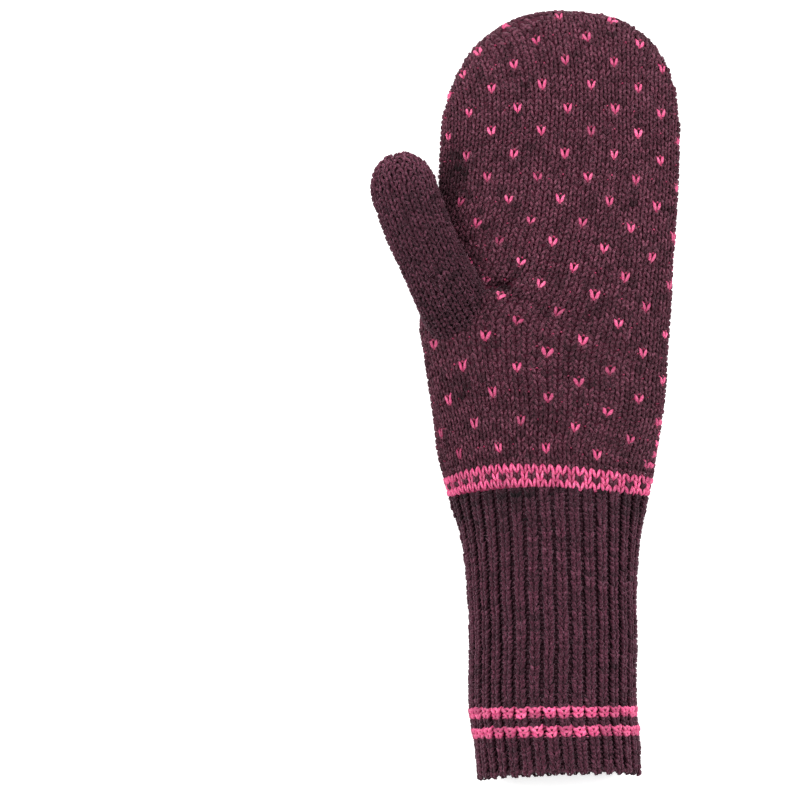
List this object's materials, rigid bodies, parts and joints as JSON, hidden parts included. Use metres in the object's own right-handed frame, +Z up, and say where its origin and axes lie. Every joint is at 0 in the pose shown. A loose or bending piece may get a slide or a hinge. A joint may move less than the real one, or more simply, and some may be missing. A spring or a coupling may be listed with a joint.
{
  "type": "knitted mitten",
  "caption": "Left-hand knitted mitten lying palm up, with a long ribbed cuff, a patterned wrist band, a round fingertip end and a separate thumb.",
  "frame": {"origin": "middle of the mitten's underside, on the surface it lies on", "axes": "+Y from the cuff to the fingertips, +Z up out of the palm, so +X points away from the thumb"},
  "size_m": [0.121, 0.2986, 0.0425],
  "materials": {
    "plum_yarn": "matt heathered wool knit",
    "pink_yarn": "matt wool knit"
  },
  "bodies": {
    "root": {"cuff": "plum_yarn", "wrist_band": "pink_yarn", "hand": "plum_yarn", "thumb": "plum_yarn"}
  },
  "joints": []
}
